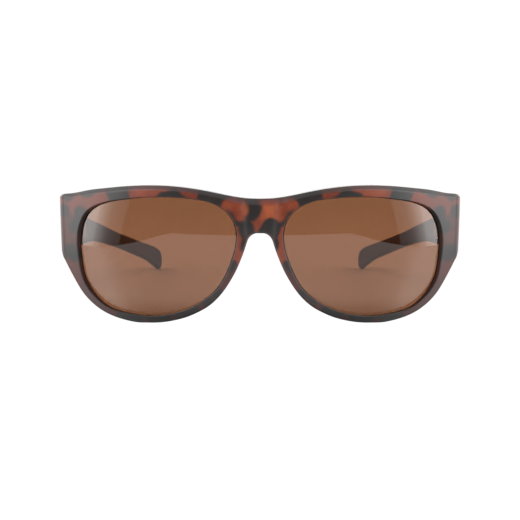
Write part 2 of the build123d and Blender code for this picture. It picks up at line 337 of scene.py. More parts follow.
# ---- outline of the front
CORNER_T = 77.2           # where the under-edge of the side wall meets the slanting cheek
brow = [(0.00, 45.65), (6.92, 46.00), (13.24, 47.12), (19.63, 48.35), (26.02, 49.26), (32.41, 49.81), (38.00, 49.93),
        (43.30, 49.78), (50.00, 49.26), (56.81, 48.46), (63.73, 47.43), (69.41, 46.20)]
cheek = [(67.82, 14.04), (65.05, 9.78), (61.25, 5.95), (57.49, 3.45), (52.70, 1.53), (48.54, 0.55), (44.21, 0.01),
         (41.40, 0.08), (38.60, 0.21), (35.09, 0.58), (30.69, 1.50), (26.29, 2.88), (22.20, 4.80), (18.94, 6.75),
         (16.51, 8.75), (14.43, 10.93), (12.69, 13.15), (10.67, 16.25), (8.93, 19.36), (7.57, 22.27), (6.42, 25.07),
         (5.44, 27.76), (4.71, 30.07), (3.98, 31.85), (2.78, 33.04), (1.38, 33.60), (0.00, 33.62)]
top_right = [(face_t(x, z), z) for x, z in brow]
top_right += [(wall_t(y, z), z) for y, z in [(20.6, 45.7), (22.6, 45.2), (25.2, 44.15), (27.9, 42.5), (31.0, 40.35),
                                              (JOINT_Y, 38.25)]]
under_right = [(wall_t(y, z), z) for y, z in [(JOINT_Y, 24.0), (31.0, 24.0), (28.0, 24.0), (25.0, 24.0), (22.0, 24.05)]]
under_right += [(CORNER_T, 24.3)]
bottom_right = [(CORNER_T, 24.3), (76.5, 22.9), (75.22, 21.5), (73.68, 19.2)]
bottom_right += [(face_t(x, z), z) for x, z in cheek]


def flipped(points):
    return [(-t, z) for t, z in reversed(points)]


top_line = smooth_curve(flipped(top_right)[:-1] + top_right)
bottom_line = smooth_curve(bottom_right + flipped(bottom_right)[1:])
under_line = smooth_curve(under_right)
other_under = under_line[::-1] * np.array([-1.0, 1.0])
right_joint = np.linspace(top_line[-1], under_line[0], 60)
left_joint = np.linspace(other_under[-1], top_line[0], 60)
OUTLINE_STEP = 0.45
outline = resampled(joined([top_line, right_joint, under_line, bottom_line, other_under, left_joint],
                           [0.5, 0.5, 0.9, 0.9, 0.5, 0.5]), OUTLINE_STEP)
outline_in = inward(outline, OUTLINE_STEP, 0.9, area_sign(outline))

# ---- lens openings, in their lens plane (u towards the nose, v up)
opening_uv = [(28.05, 0.0), (28.97, 4.75), (28.69, 9.08), (27.27, 12.58), (24.75, 15.47), (20.93, 17.76), (16.19, 19.1),
              (10.4, 19.74), (4.37, 20.04), (-1.0, 19.98), (-6.28, 19.7), (-11.95, 18.97), (-17.86, 18.08),
              (-23.09, 16.64), (-27.5, 14.08), (-30.36, 9.52), (-31.5, 3.13), (-30.86, -4.2), (-29.2, -11.5),
              (-25.12, -16.95), (-19.66, -20.82), (-12.98, -22.57), (-6.36, -23.22), (-0.19, -23.1), (5.7, -21.88),
              (11.45, -19.9), (16.9, -16.68), (22.11, -12.29), (25.54, -6.62)]
lens_turn = math.asin(37.0 / FACE_R)
uv = smooth_curve(opening_uv, closed=True)
o = np.array([-37.0, FACE_R - FACE_R * math.cos(lens_turn), CENTRE_Z])
ux, wn = np.array([math.cos(lens_turn), -math.sin(lens_turn), 0.0]), np.array([math.sin(lens_turn), math.cos(lens_turn), 0.0])
base = o + uv[:, :1] * ux + uv[:, 1:] * np.array([0, 0, 1.0]) - np.array([0, FACE_R, CENTRE_Z])
b_ = base @ wn
reach = -b_ - np.sqrt(b_ ** 2 - (base ** 2).sum(1) + FACE_R ** 2)
hit = base + reach[:, None] * wn
opening_left = np.column_stack([FACE_R * np.arctan2(hit[:, 0], -hit[:, 1]), hit[:, 2] + CENTRE_Z])
OPENING_STEP = 0.42
opening_left = resampled(opening_left, OPENING_STEP)
opening_right = opening_left * np.array([-1, 1])
left_in = inward(opening_left, OPENING_STEP, 0.6, -area_sign(opening_left))
right_in = inward(opening_right, OPENING_STEP, 0.6, -area_sign(opening_right))

# ---- nose saddle: the back face stands out along the nose gap
nose_line = outline[(np.abs(outline[:, 0]) < 21) & (outline[:, 1] < 34.5)]
saddle_profile = smooth_curve([(4.0, 4.2), (7.0, 5.2), (12.0, 7.0), (16.0, 9.0), (20.0, 10.2), (24.0, 10.4),
                               (28.0, 9.6), (32.0, 7.6), (36.0, 5.6), (40.0, 4.6)])


def saddle(p, y_inner):
    d = nearest(p, nose_line)
    stand = np.interp(p[:, 1], saddle_profile[:, 0], saddle_profile[:, 1]) - y_inner
    stand = np.where((np.abs(p[:, 0]) < 24) & (p[:, 1] < 40), np.maximum(stand, 0), 0)
    return stand * (1 - smoothstep(d, 1.7, 3.5))


def bridge_relief(p):
    """How far the outer face stands out round the bridge: a raised middle panel, a soft valley beside it."""
    t, z = np.abs(p[:, 0]), p[:, 1]
    near = 3.9 + 0.09 * (z - 35.0)
    far = 6.3 + 0.13 * (z - 35.0)
    panel = 0.50 * (1 - smoothstep(t, near, far))
    pod = 0.25 * smoothstep(t, far, far + 2.8)
    return (panel + pod - 0.25) * smoothstep(z, 27.0, 33.0)


def place_front(p, side, depth):
    outer, inner = front_faces(p)
    inner = inner.copy()
    inner[:, 1] += saddle(p, inner[:, 1])
    along = inner - outer
    length = np.linalg.norm(along, axis=1)
    direction = along / length[:, None]
    if side == 0:
        return outer + direction * (depth - bridge_relief(p))[:, None]
    return inner - direction * depth[:, None]


# front edge: a slanting bevel with a soft crease along the brow, wider over the bridge, and a narrow one elsewhere
openings = np.vstack([opening_left, opening_right])
room = nearest(outline, openings)
to_joint = np.abs(np.abs(outline[:, 0]) - wall_t(JOINT_Y, outline[:, 1]))
over_bridge = (1 - smoothstep(np.abs(outline[:, 0]), 6.0, 16.0)) * smoothstep(outline[:, 1], 40.0, 44.0)
along_brow = smoothstep(outline[:, 1], 38.0, 43.0) * (1 - smoothstep(np.abs(outline[:, 0]), 66.0, 82.0))
bevel = np.minimum(0.55 + 0.90 * along_brow + 0.65 * over_bridge, 0.42 * room)
bevel = blurred(0.28 + (bevel - 0.28) * smoothstep(to_joint, 0.0, 3.5), OUTLINE_STEP, 0.9)
SLANT = math.atan(0.85)
edge_r = 0.16 + 0.20 * smoothstep(to_joint, 0.0, 3.0)
crease = np.minimum(0.20, 0.3 * bevel)
back_r = 0.25 + 0.45 * smoothstep(to_joint, 0.0, 3.0)
flat = np.minimum(bevel + 0.62, 0.54 * room)
profile = [(flat, 0, 0.0), (bevel + crease, 0, 0.0)]
for k in (0.5, 0.0, -0.5, -1.0):
    profile.append((bevel + k * crease, 0, math.tan(SLANT) * crease * (1 - k) ** 2 / 4))
turned = bevel - edge_r * (1 - math.sin(SLANT))
level = math.tan(SLANT) * turned + edge_r * math.cos(SLANT)
for k in range(6):
    a = SLANT + (math.pi / 2 - SLANT) * k / 5
    profile.append((edge_r * (1 - math.sin(a)), 0, level - edge_r * math.cos(a)))
profile.append((0.0, 0, level + 0.45))
profile.append((0.0, 1, back_r + 0.5))
for k in range(5):
    a = math.pi / 2 * (1 - k / 4)
    profile.append((back_r * (1 - math.sin(a)), 1, back_r * (1 - math.cos(a))))
profile += [(np.maximum(0.9 * flat, back_r + 0.1), 1, 0.0), (flat, 1, 0.0)]


def hole_edge(loop, into):
    """Edge of a lens opening: rounded front lip, groove for the lens, small rear bead and a flared rear edge."""
    room = nearest(loop, outline)
    flat = np.minimum(2.5, 0.44 * room)
    drift = np.column_stack([-0.0082 * loop[:, 0], (26.0 - loop[:, 1]) / 150 + (86.8 - loop[:, 1]) / 455])
    seen = -(into * drift).sum(1)
    top = smoothstep(into[:, 1], 0.0, 0.6)
    nasal = smoothstep(-np.sign(loop[:, 0]) * into[:, 0], 0.3, 0.8)
    bead = np.clip(1.6 * seen - 0.55 * top - 0.48 * nasal, -0.60, 0.78)
    flare = np.clip(3.2 * seen + 0.20 - 0.2 * nasal, 0.02, flat - 0.45)
    bead = blurred(bead, OPENING_STEP, 1.2)
    flare = blurred(flare, OPENING_STEP, 1.2)
    lip = 0.22 + 0.20 * nasal
    lip = blurred(lip, OPENING_STEP, 1.5)
    out = [(flat, 0, 0.0), (lip + 0.12, 0, 0.0)]
    for k in range(6):
        a = math.pi / 2 * k / 5
        out.append((lip * (1 - math.sin(a)), 0, 0.75 * lip * (1 - math.cos(a))))
    out += [(0.0, 0, 0.9), (0.0, 0, 1.80), (0.80, 0, 1.82), (0.80, 0, 3.47), (bead, 0, 3.50), (bead, 0, 3.64)]
    out += [(flare, 1, 0.40), (flare + 0.05, 1, 0.18), (flare + 0.18, 1, 0.05), (flare + 0.40, 1, 0.0), (flat, 1, 0.0)]
    return out


# extra points where the saddle rises from the back face
steps = []
for d in (2.4, 2.8, 3.2, 3.6):
    band = outline + outline_in * d
    steps.append(band[(np.abs(outline[:, 0]) < 19) & (outline[:, 1] < 34.5) & (outline[:, 1] > 5) & (room > d + 2.2)][::2])
steps = np.vstack(steps)
apart = [steps[0]]
for q in steps[1:]:
    if min((q - r)[0] ** 2 + (q - r)[1] ** 2 for r in apart[-400:]) > 0.3 ** 2:
        apart.append(q)
steps = np.array(apart)

# ---- tortoiseshell: outlines of the dark patches in (t, z) on the front, mm: (both sides, softness of the edge, outline)
PATCHES = [
    (True, 0.55, [(-76.8, 45.4), (-74.2, 46.5), (-71.0, 46.3), (-70.7, 45.3), (-71.3, 44.4), (-72.4, 43.4), (-74.4, 43.2),
                  (-75.3, 44.0), (-76.7, 43.9)]),
    (True, 0.55, [(-69.7, 47.5), (-65.0, 48.7), (-60.0, 48.9), (-59.5, 47.8), (-61.3, 46.7), (-63.1, 45.6), (-64.8, 45.0),
                  (-66.9, 45.1), (-68.3, 45.9)]),
    (True, 0.45, [(-58.8, 50.0), (-49.5, 50.6), (-48.8, 48.9), (-48.1, 46.7), (-47.4, 44.6), (-51.6, 44.2), (-55.1, 43.3),
                  (-56.2, 44.7), (-56.9, 46.1), (-58.1, 47.7)]),
    (True, 0.4, [(-38.0, 44.9), (-37.1, 46.8), (-36.2, 47.6), (-33.8, 48.0), (-32.9, 48.5), (-31.4, 49.1), (-30.3, 48.7),
                 (-29.2, 48.1), (-28.3, 47.2), (-27.3, 46.6), (-25.4, 45.1), (-31.7, 45.0)]),
    (True, 0.4, [(-22.3, 50.0), (-17.2, 50.1), (-11.1, 47.7), (-10.9, 46.7), (-11.9, 45.8), (-12.9, 44.8), (-13.8, 43.6),
                 (-14.2, 41.8), (-17.1, 42.8), (-19.6, 44.1), (-22.3, 44.5), (-22.5, 46.2), (-22.2, 47.6)]),
    (True, 0.4, [(-12.1, 42.2), (-11.1, 41.9), (-9.9, 41.4), (-8.9, 40.5), (-8.2, 39.2), (-7.9, 37.6), (-8.2, 35.8),
                  (-8.9, 36.2), (-9.4, 37.9), (-10.5, 39.7), (-11.5, 40.9)]),
    (True, 0.7, [(-77.0, 41.7), (-74.3, 42.1), (-73.1, 41.4), (-72.6, 39.8), (-72.7, 38.3), (-73.7, 37.3), (-75.2, 37.3),
                 (-76.9, 37.7)]),
    (True, 0.6, [(-70.5, 40.4), (-69.6, 41.5), (-68.3, 41.9), (-67.1, 41.7), (-66.2, 41.0), (-64.5, 40.8), (-62.9, 41.6),
                 (-64.5, 38.3), (-66.1, 33.9), (-67.2, 31.8), (-68.8, 31.6), (-70.4, 31.7), (-71.8, 32.4), (-72.5, 33.9),
                 (-72.3, 35.5), (-70.8, 36.6), (-70.3, 38.1)]),
    (True, 0.8, [(-75.9, 26.8), (-74.0, 27.4), (-71.8, 27.9), (-69.9, 27.7), (-69.0, 26.6), (-67.7, 25.0), (-67.1, 22.9),
                 (-69.1, 21.8), (-71.3, 21.4), (-73.6, 22.5), (-76.0, 24.2)]),
    (False, 0.75, [(-7.1, 46.3), (-1.1, 46.4), (-0.2, 45.0), (0.5, 43.7), (0.9, 42.5), (0.6, 41.1), (-0.0, 39.7),
                  (-1.1, 38.5), (-2.7, 37.5), (-4.6, 37.6), (-5.5, 38.5), (-4.8, 40.1), (-4.4, 42.2), (-4.8, 43.9),
                  (-5.5, 45.1)]),
    (False, 0.55, [(-7.8, 35.1), (-7.4, 36.9), (-6.2, 38.1), (-4.4, 38.5), (-2.8, 37.5), (-2.2, 36.2), (-1.8, 34.5),
                  (-1.1, 33.6), (-3.5, 32.7), (-4.4, 30.9), (-5.3, 28.8), (-6.0, 27.2), (-6.9, 27.7), (-7.1, 29.0),
                  (-6.7, 30.4), (-6.3, 31.6), (-7.1, 32.9), (-7.7, 33.9)]),
    (False, 0.4, [(-1.1, 33.6), (-0.8, 34.5), (-0.1, 35.4), (0.6, 36.4), (1.2, 37.5), (2.1, 38.5), (3.1, 39.0),
                  (4.1, 39.1), (5.3, 38.8), (6.2, 38.1), (6.9, 37.1), (7.4, 36.0), (7.4, 35.0), (7.0, 33.7),
                  (6.4, 32.7), (6.3, 31.8), (6.7, 30.7), (6.8, 29.7), (6.5, 28.4), (6.0, 27.3), (5.4, 27.1),
                  (4.8, 29.2), (4.2, 31.3), (3.2, 32.9), (0.7, 33.2)]),
    (True, 0.5, [(-10.8, 23.6), (-8.6, 23.8), (-8.1, 23.1), (-8.4, 21.8), (-9.2, 20.8), (-11.2, 20.2), (-11.7, 21.6)]),
    (True, 0.5, [(-16.3, 13.1), (-13.9, 13.5), (-13.4, 12.6), (-15.2, 10.5), (-16.5, 10.0), (-17.2, 11.6)]),
    (True, 0.5, [(-19.6, 10.1), (-17.2, 10.7), (-16.5, 9.9), (-18.2, 7.9), (-20.0, 7.1), (-20.7, 8.7)]),
    (True, 0.6, [(-52.8, 5.1), (-50.0, 4.2), (-46.5, 3.6), (-43.7, 3.6), (-43.0, 2.7), (-42.0, 3.7), (-34.8, 4.0),
                 (-32.6, 4.1), (-31.7, 3.0), (-30.7, 4.4), (-26.9, 5.8), (-23.1, 7.6), (-21.9, 6.1), (-23.3, 3.9),
                 (-26.3, 2.3), (-30.1, 1.2), (-31.7, 2.3), (-33.2, 0.5), (-41.0, -1.0), (-42.4, 1.2), (-43.1, 1.2),
                 (-44.1, -0.8), (-50.5, -0.4), (-53.4, 0.9), (-53.9, 2.8)]),
    # the side walls, round the corner
    (True, 0.7, [(-79.6, 43.9), (-81.8, 44.6), (-84.6, 43.6), (-86.1, 41.6), (-85.2, 39.4), (-82.6, 38.5), (-80.3, 39.6),
                 (-79.2, 41.8)]),
    (True, 0.7, [(-80.2, 33.6), (-82.4, 35.0), (-85.4, 34.6), (-88.6, 35.8), (-92.0, 35.0), (-92.0, 31.6), (-88.6, 30.4),
                 (-85.0, 29.4), (-81.8, 30.6)]),
    (True, 0.7, [(-78.6, 26.6), (-80.6, 27.6), (-82.8, 26.2), (-83.4, 23.6), (-80.6, 22.6), (-78.4, 24.2)]),
]


def patch_field(p, patches):
    """How far inside the nearest patch each point lies, in units of that patch's softness; negative outside."""
    best = np.full(len(p), -6.0)
    for both, soft, corners in patches:
        for mirror in ((1, -1) if both else (1,)):
            line = smooth_curve(np.array(corners) * np.array([mirror, 1.0]), closed=True, step=0.25)
            low, high = line.min(0) - 6 * soft, line.max(0) + 6 * soft
            near = np.nonzero(((p > low) & (p < high)).all(1))[0]
            if not len(near):
                continue
            q = p[near]
            d = nearest(q, line) * np.where(inside(q, line), 1.0, -1.0) / soft
            best[near] = np.maximum(best[near], d)
    return np.clip(best, -6.0, 6.0)


# how warm the plastic is between the patches: (distance from the middle along the face, z, level), 1 the clearest orange
TONES = np.array([(0, 42, 1.05), (0, 36, 0.6), (3.4, 41.5, 1.05), (6.4, 41.2, 0.72), (9.0, 41, 0.5),
                  (11.5, 43, 0.66), (8, 31, 0.6), (8, 25, 0.62), (10, 21, 0.2), (20, 6, 0.19), (25, 47.5, 0.54), (42, 47.5, 0.70), (50, 46, 0.52), (60, 43.5, 0.48), (71, 42, 0.44),
                  (73.5, 36, 0.18), (71, 30, 0.24), (70, 18, 0.27), (64, 11, 0.17), (45, 1, 0.19), (77.5, 44, 0.42), (77.5, 36, 0.24), (77.5, 28, 0.16),
                  (86, 38, 0.36), (92, 30, 0.42)])


def tone_field(p):
    away = (np.abs(p[:, 0])[:, None] - TONES[:, 0]) ** 2 + (p[:, 1][:, None] - TONES[:, 1]) ** 2
    weight = 1 / (away + 2.0) ** 2.5
    return (weight * TONES[:, 2]).sum(1) / weight.sum(1)


def paint_front(q, side):
    # painted shade: the slanting edge along the top is painted darker where it turns away from the light, and so is the
    # rim of the openings, where shade falls in the recess round the lenses
    edge = 1 - smoothstep(nearest(q, outline), 1.0, 1.9 + 1.0 * (1 - smoothstep(np.abs(q[:, 0]), 6.0, 16.0)))
    rim = 1 - smoothstep(nearest(q, openings), 0.10, 0.50)
    outer_side = smoothstep(np.abs(q[:, 0]), 30.0, 50.0) * (1 - 2.2 * smoothstep(q[:, 1], 28.0, 38.0))
    edge = edge * (1 - 0.75 * smoothstep(np.abs(q[:, 0]), 67.0, 76.0))
    painted_edge_shade = (1 - 0.82 * edge * smoothstep(q[:, 1], 36.0, 42.0)) * (1 - (0.45 + 0.20 * outer_side) * rim)
    # the tone attribute carries this painted shade together with the plastic's own tone
    return {"patch": patch_field(q, PATCHES), "tone": tone_field(q) * painted_edge_shade}


front = plate("front_shell", [(outline, outline_in, profile), (opening_left, left_in, hole_edge(opening_left, left_in)),
                              (opening_right, right_in, hole_edge(opening_right, right_in))], place_front, 0.62, paint_front, steps)
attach(front, "front")
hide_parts("front_frame")


# ------------------------------------------------------------------ lenses
def lens_points(p, depth):
    """Points on the spheres of the lens, for (t, z) on the face sphere."""
    theta = p[:, 0] / FACE_R
    r = FACE_R - depth
    rho = np.sqrt(r ** 2 - (p[:, 1] - CENTRE_Z) ** 2)
    return np.column_stack([rho * np.sin(theta), FACE_R - rho * np.cos(theta), p[:, 1]])


def make_lens(name, loop, outward, node):
    edge = loop + outward * 0.70
    middle = edge.mean(0)
    verts, faces = [], []
    n = len(edge)
    rings = 34
    shares = 1 - (1 - np.linspace(0, 1, rings + 1)[1:]) ** 1.0
    order = []
    count = 0
    for depth, inward_order in ((1.87, False), (3.45, True)):
        verts.append(lens_points(middle[None, :], np.array([depth])))
        centre = count
        count += 1
        ring = []
        for s in shares:
            q = middle + (edge - middle) * s
            if s == shares[-1]:
                q = middle + (edge - middle) - outward * 0.12
            verts.append(lens_points(q, np.full(n, depth)))
            ring.append(np.arange(count, count + n))
            count += n
        first = ring[0]
        fan = np.column_stack([np.full(n, centre), first, np.roll(first, -1)])
        faces += fan.tolist()
        for a, b in zip(ring[:-1], ring[1:]):
            faces += np.column_stack([a, b, np.roll(b, -1), np.roll(a, -1)]).tolist()
        order.append(ring[-1])
    sides = [order[0]]
    for depth in (1.99, 2.66, 3.33):
        verts.append(lens_points(edge, np.full(n, depth)))
        sides.append(np.arange(count, count + n))
        count += n
    sides.append(order[1])
    for a, b in zip(sides[:-1], sides[1:]):
        faces += np.column_stack([a, b, np.roll(b, -1), np.roll(a, -1)]).tolist()
    lens = make_mesh(name, np.vstack(verts), faces, angle=60.0)
    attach(lens, "front")
    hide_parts(node)
    return lens


lens_l = make_lens("lens_shell_left", opening_left, left_in, "lens_left")
lens_r = make_lens("lens_shell_right", opening_right, right_in, "lens_right")

# ------------------------------------------------------------------ temples
ROOT_Y = 34.16
temple_top = [(ROOT_Y, 38.2), (37.5, 36.95), (42.35, 35.7), (50.0, 33.55), (57.5, 31.6), (71.1, 27.95), (85.0, 24.15),
              (100.2, 20.4), (113.9, 17.0), (126.6, 13.9), (136.3, 11.45), (142.0, 9.6), (144.5, 8.2), (145.9, 6.2),
              (146.45, 3.8), (146.15, 1.8), (145.1, 0.5), (143.6, 0.02), (142.0, 0.45), (140.0, 1.45), (136.0, 3.1),
              (129.3, 5.75), (123.15, 7.75), (113.6, 10.45), (99.9, 14.25), (86.3, 17.85), (73.4, 20.9), (60.7, 23.35),
              (50.0, 24.4), (42.0, 24.5), (ROOT_Y, 24.0)]
outer_plan = smooth_curve([(ROOT_Y, 73.15), (38.0, 72.7), (42.0, 72.0), (48.5, 70.75), (56.0, 69.2), (75.0, 65.05),
                           (100.0, 59.5), (125.0, 53.6), (148.0, 48.1)])
inner_plan = smooth_curve([(ROOT_Y, 68.8), (42.0, 67.35), (50.0, 65.8), (75.0, 60.95), (100.0, 55.9), (125.0, 50.5),
                           (148.0, 45.3)])
TEMPLE_STEP = 0.45


def blob(y, z, along, across, turn, shape):
    """An irregular rounded outline: a tilted ellipse with its radius scaled by the factors in shape."""
    c, s = math.cos(math.radians(turn)), math.sin(math.radians(turn))
    out = []
    for k, f in enumerate(shape):
        a = 2 * math.pi * k / len(shape)
        u, v = along * f * math.cos(a), across * f * math.sin(a)
        out.append((y + u * c - v * s, z + u * s + v * c))
    return out


ARM_PATCHES = [(False, soft, blob(*b)) for soft, b in [
    (0.7, (38.8, 33.4, 5.2, 3.0, -22, (1.0, 1.2, 0.82, 1.05, 0.8, 1.15, 0.9, 1.0, 1.1))),
    (0.7, (40.0, 25.8, 3.2, 1.7, 10, (0.9, 1.15, 1.0, 0.8, 1.1, 1.0, 0.9, 1.15))),
    (0.8, (49.0, 30.6, 4.8, 1.6, -38, (1.15, 0.85, 1.1, 0.95, 1.2, 0.8, 1.0, 0.9, 1.05))),
    (0.6, (50.8, 25.4, 2.4, 1.3, 0, (1.0, 0.85, 1.15, 0.95, 1.0, 1.1, 0.8, 1.05))),
    (0.8, (58.4, 27.2, 3.2, 3.0, -20, (0.85, 1.15, 1.0, 0.85, 1.15, 0.9, 1.1, 0.95))),
    (0.6, (65.4, 27.6, 2.1, 1.0, -20, (1.0, 0.9, 1.1, 1.0, 0.9, 1.1, 1.0))),
    (0.8, (68.4, 23.8, 5.6, 1.5, -10, (1.1, 0.8, 1.15, 1.0, 0.85, 1.15, 0.9))),
    (0.8, (77.0, 24.0, 3.4, 2.5, -34, (0.9, 1.15, 0.8, 1.1, 1.0, 0.85, 1.15, 1.0))),
    (0.6, (82.0, 19.8, 2.2, 1.0, -12, (1.1, 0.92, 1.0, 1.08, 0.88, 1.0, 1.05))),
    (0.8, (88.2, 20.8, 5.8, 1.6, -13, (0.95, 1.2, 0.85, 0.9, 1.15, 0.8, 1.05))),
    (0.6, (96.8, 20.0, 1.9, 0.9, -18, (0.9, 1.05, 1.1, 0.88, 1.0, 1.1, 0.94))),
    (0.7, (99.6, 16.2, 3.4, 1.4, -10, (0.9, 1.1, 1.1, 0.85, 1.0, 1.15, 0.9, 1.0))),
    (0.8, (107.6, 16.2, 4.4, 2.3, -24, (1.15, 0.8, 1.0, 1.15, 0.85, 1.05, 0.9))),
    (0.6, (115.8, 12.4, 2.3, 1.0, -12, (1.0, 1.1, 0.9, 1.0, 1.08, 0.9, 1.02, 0.95))),
    (0.8, (122.0, 12.9, 4.9, 1.6, -25, (0.9, 1.0, 1.2, 0.85, 1.1, 1.0, 0.85))),
    (0.7, (130.2, 9.2, 3.0, 2.3, -20, (1.1, 0.85, 1.1, 1.0, 0.8, 1.15, 1.0))),
    (0.6, (135.8, 10.3, 1.8, 0.9, -20, (1.0, 0.9, 1.1, 1.0, 0.9, 1.1))),
    (0.8, (140.4, 5.2, 4.2, 2.3, -34, (1.0, 1.15, 0.85, 1.0, 1.15, 0.85, 1.0, 1.1))),
]]


def paint_arm(q, side):
    tone = 0.42 + 0.12 * np.sin(q[:, 0] / 7.0) * np.cos(q[:, 1] / 3.1 + q[:, 0] / 11.0)
    bent = q + np.column_stack([1.0 * np.sin(1.3 * q[:, 1] + 0.21 * q[:, 0]), 0.55 * np.sin(0.6 * q[:, 0] + 1.0)])
    return {"patch": patch_field(bent, ARM_PATCHES), "tone": tone, "inner": np.full(len(q), float(side))}


def make_temple(name, sign, body, node):
    line = smooth_curve(temple_top)
    root = np.linspace(line[-1], line[0], 40)
    loop = resampled(joined([line, root], [0.4, 0.4]), TEMPLE_STEP)
    into = inward(loop, TEMPLE_STEP, 0.8, area_sign(loop))

    def place_temple(p, side, depth):
        xo = np.interp(p[:, 0], outer_plan[:, 0], outer_plan[:, 1])
        xi = np.interp(p[:, 0], inner_plan[:, 0], inner_plan[:, 1])
        # the outer face is slightly crowned
        mid = np.interp(p[:, 0], [ROOT_Y, 60, 120, 147], [31.1, 27.2, 13.2, 5.0])
        half = np.interp(p[:, 0], [ROOT_Y, 60, 120, 147], [7.1, 3.6, 2.6, 5.0])
        crown = 0.22 * np.clip(np.abs(p[:, 1] - mid) / half, 0, 1) ** 2 * smoothstep(p[:, 0], ROOT_Y, ROOT_Y + 8)
        x = xo - crown - depth if side == 0 else xi + depth
        return np.column_stack([sign * x, p[:, 0], p[:, 1]])

    from_root = loop[:, 0] - ROOT_Y
    r_out = blurred(0.25 + 1.0 * smoothstep(from_root, 0.0, 5.0), TEMPLE_STEP, 1.0)
    r_in = blurred(0.25 + 0.75 * smoothstep(from_root, 0.0, 5.0), TEMPLE_STEP, 1.0)
    at_root = smoothstep(nearest(loop, np.array([temple_top[0], temple_top[-1]])), 0.8, 7.0)
    inset, first_inset = 0.50 + 1.50 * at_root, 0.38 + 1.17 * at_root
    r_out, r_in = np.minimum(r_out, 0.85 * first_inset), np.minimum(r_in, 0.85 * first_inset)
    sides = [(inset, 0, 0.0), (first_inset, 0, 0.0)]
    for k in range(7):
        a = math.pi / 2 * k / 6
        sides.append((r_out * (1 - math.sin(a)), 0, r_out * (1 - math.cos(a))))
    for k in range(7):
        a = math.pi / 2 * (1 - k / 6)
        sides.append((r_in * (1 - math.sin(a)), 1, r_in * (1 - math.cos(a))))
    sides += [(first_inset, 1, 0.0), (inset, 1, 0.0)]
    temple = plate(name, [(loop, into, sides)], place_temple, 0.8, paint_arm)
    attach(temple, body)
    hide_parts(node)
    return temple


temple_l = make_temple("temple_shell_left", -1, "temple_arm_left", "temple_left")
temple_r = make_temple("temple_shell_right", 1, "temple_arm_right", "temple_right")


# ------------------------------------------------------------------ materials
class Nodes:
    """Small helper to wire shader nodes."""

    def __init__(self, name, world=False):
        self.material = (bpy.data.worlds if world else bpy.data.materials).new(name)
        self.material.use_nodes = True
        self.tree = self.material.node_tree
        self.tree.nodes.clear()
        self.out = self.tree.nodes.new("ShaderNodeOutputWorld" if world else "ShaderNodeOutputMaterial")

    def add(self, kind, **values):
        node = self.tree.nodes.new(kind)
        for key, value in values.items():
            setattr(node, key, value)
        return node

    def link(self, a, b):
        self.tree.links.new(a, b)

    def put(self, socket, value):
        if hasattr(value, "links") or isinstance(value, bpy.types.NodeSocket):
            self.link(value, socket)
        else:
            socket.default_value = value

    def math(self, op, a, b=None, clamp=False):
        node = self.add("ShaderNodeMath", operation=op, use_clamp=clamp)
        self.put(node.inputs[0], a)
        if b is not None:
            self.put(node.inputs[1], b)
        return node.outputs[0]

    def vmath(self, op, a, b=None, scale=None):
        node = self.add("ShaderNodeVectorMath", operation=op)
        self.put(node.inputs[0], a)
        if b is not None:
            self.put(node.inputs[1], b)
        if scale is not None:
            self.put(node.inputs["Scale"], scale)
        return node.outputs["Value"] if op in ("LENGTH", "DISTANCE", "DOT_PRODUCT") else node.outputs["Vector"]

    def noise(self, vector, scale, detail=2.0, rough=0.5, distortion=0.0):
        node = self.add("ShaderNodeTexNoise")
        self.put(node.inputs["Vector"], vector)
        node.inputs["Scale"].default_value = scale
        node.inputs["Detail"].default_value = detail
        node.inputs["Roughness"].default_value = rough
        node.inputs["Distortion"].default_value = distortion
        return node

    def ranged(self, value, a, b, c=0.0, d=1.0, smooth=True):
        node = self.add("ShaderNodeMapRange")
        node.interpolation_type = "SMOOTHSTEP" if smooth else "LINEAR"
        self.put(node.inputs["Value"], value)
        self.put(node.inputs["From Min"], a)
        self.put(node.inputs["From Max"], b)
        self.put(node.inputs["To Min"], c)
        self.put(node.inputs["To Max"], d)
        return node.outputs["Result"]

    def mix(self, factor, a, b):
        node = self.add("ShaderNodeMix", data_type="RGBA")
        self.put(node.inputs["Factor"], factor)
        self.put(node.inputs["A"], a)
        self.put(node.inputs["B"], b)
        return node.outputs["Result"]


def srgb(r, g, b):
    def lin(c):
        c /= 255.0
        return c / 12.92 if c <= 0.04045 else ((c + 0.055) / 1.055) ** 2.4
    return (lin(r), lin(g), lin(b), 1.0)


